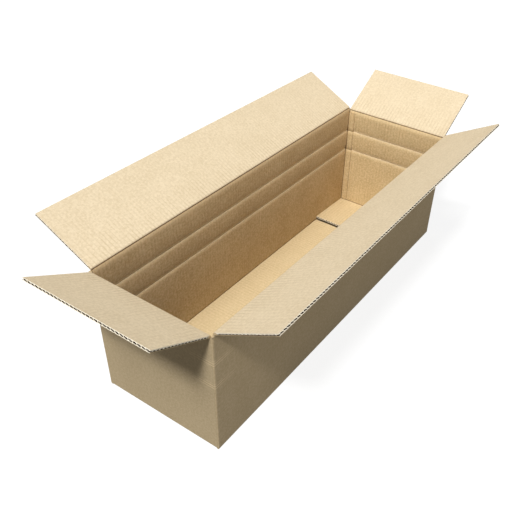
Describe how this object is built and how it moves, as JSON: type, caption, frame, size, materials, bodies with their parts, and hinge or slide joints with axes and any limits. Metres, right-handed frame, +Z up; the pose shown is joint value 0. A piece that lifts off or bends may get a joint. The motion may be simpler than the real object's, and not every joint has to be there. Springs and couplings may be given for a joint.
{
  "type": "open cardboard box",
  "caption": "Long open shipping box of corrugated board with top flaps folded outwards and pressed fold lines round the inside of its walls.",
  "frame": {"origin": "centre of the base's underside", "axes": "+X along the length to the far end wall, +Y across to the back long wall, +Z up"},
  "size_m": [0.9688, 0.4462, 0.3014],
  "materials": {
    "board": "matt kraft facing",
    "tape": "smooth packing film"
  },
  "bodies": {
    "box": {"box_body": "board", "bottom_tape": "tape"},
    "front_flap": {"front_long_flap": "board"},
    "back_flap": {"back_long_flap": "board"},
    "left_flap": {"left_end_flap": "board"},
    "right_flap": {"right_end_flap": "board"}
  },
  "joints": [
    {"name": "front_flap_fold", "type": "hinge", "parent": "box", "child": "front_flap", "pos_m": [0, -0.1185, 0.2415], "axis": [1, 0, 0], "range_deg": [-151.5, 113.5]},
    {"name": "back_flap_fold", "type": "hinge", "parent": "box", "child": "back_flap", "pos_m": [0, 0.1185, 0.2415], "axis": [-1, 0, 0], "range_deg": [-153, 112]},
    {"name": "left_flap_fold", "type": "hinge", "parent": "box", "child": "left_flap", "pos_m": [-0.381, 0, 0.2372], "axis": [0, -1, 0], "range_deg": [-152, 113]},
    {"name": "right_flap_fold", "type": "hinge", "parent": "box", "child": "right_flap", "pos_m": [0.381, 0, 0.2372], "axis": [0, 1, 0], "range_deg": [-150, 115]}
  ]
}
